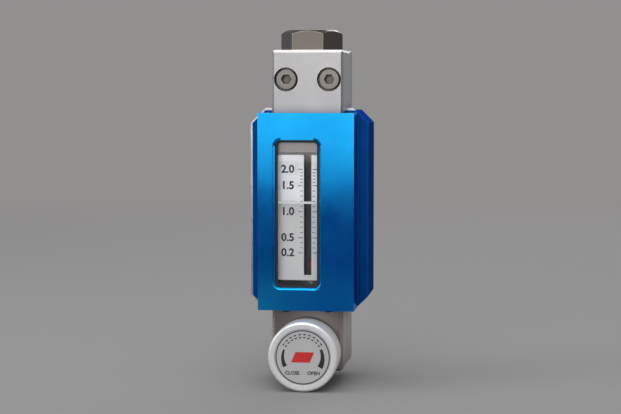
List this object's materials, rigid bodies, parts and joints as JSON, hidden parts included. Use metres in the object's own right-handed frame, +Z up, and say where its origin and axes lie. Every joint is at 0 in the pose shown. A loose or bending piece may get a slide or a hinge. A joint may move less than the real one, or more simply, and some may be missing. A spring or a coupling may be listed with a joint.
{
  "type": "flow control valve with variable-area flow meter",
  "caption": "Panel-mounted needle valve with a glass-tube flow meter in a blue windowed housing between two end blocks, and a round front knob.",
  "frame": {"origin": "the middle of the back bar's rear face, which lies against the panel, level with the middle of the front cover", "axes": "+X to the right as seen from the front, +Y away from the viewer into the panel, +Z up along the measuring tube"},
  "size_m": [0.0419, 0.043, 0.1242],
  "materials": {
    "frame_metal": "satin, clear anodised",
    "block_metal": "satin, bead blasted, clear anodised",
    "screw_steel": "machined stainless steel",
    "blue_front": "bright blue anodised, fine brushed",
    "blue_rear": "dark blue anodised, satin",
    "natural_metal": "natural, fine milled",
    "pane": "clear",
    "scale_white": "white, printed scale",
    "tube_glass": "clear borosilicate",
    "float_red": "dark red",
    "stop_plastic": "white fluoropolymer",
    "stop_steel": "turned",
    "seal_rubber": "black",
    "plug_steel": "nickel plated, bright",
    "bonnet_brass": "turned",
    "spindle_steel": "ground",
    "knob_metal": "satin, turned",
    "dial_face": "light grey, printed arcs"
  },
  "bodies": {
    "base": {"back_bar": "frame_metal", "top_block": "block_metal", "bottom_block": "block_metal", "block_screws": "screw_steel", "rear_housing": "blue_rear", "housing_screws": "screw_steel", "edge_strips": "natural_metal", "front_cover": "blue_front", "cover_screws": "screw_steel", "window_pane": "pane", "pane_seal": "seal_rubber", "scale_plate": "scale_white", "measuring_tube": "tube_glass", "upper_stop": "stop_plastic", "lower_stop": "stop_steel", "upper_tube_seal": "seal_rubber", "lower_tube_seal": "seal_rubber", "top_plug": "plug_steel", "plug_seal": "seal_rubber", "valve_bonnet": "bonnet_brass", "bonnet_seal": "seal_rubber", "valve_seat": "stop_plastic", "seat_seal": "seal_rubber"},
    "float": {"float": "float_red"},
    "needle": {"needle": "spindle_steel"},
    "knob": {"knob": "knob_metal", "knob_screw": "screw_steel", "knob_dial": "dial_face", "valve_spindle": "spindle_steel", "spindle_seal": "seal_rubber"}
  },
  "joints": [
    {"name": "float_rise", "type": "slide", "parent": "base", "child": "float", "axis": [0, 0, 1], "range_m": [0, 0.038]},
    {"name": "needle_lift", "type": "slide", "parent": "base", "child": "needle", "axis": [0, -1, 0], "range_m": [0, 0.0025]},
    {"name": "knob_turn", "type": "hinge", "parent": "needle", "child": "knob", "pos_m": [0, -0.03, -0.0492], "axis": [0, -1, 0], "range_deg": [0, 1800]}
  ],
  "couplings": [
    {"joint": "needle_lift", "follows": "knob_turn", "m_per_rad": 0.000079577}
  ]
}
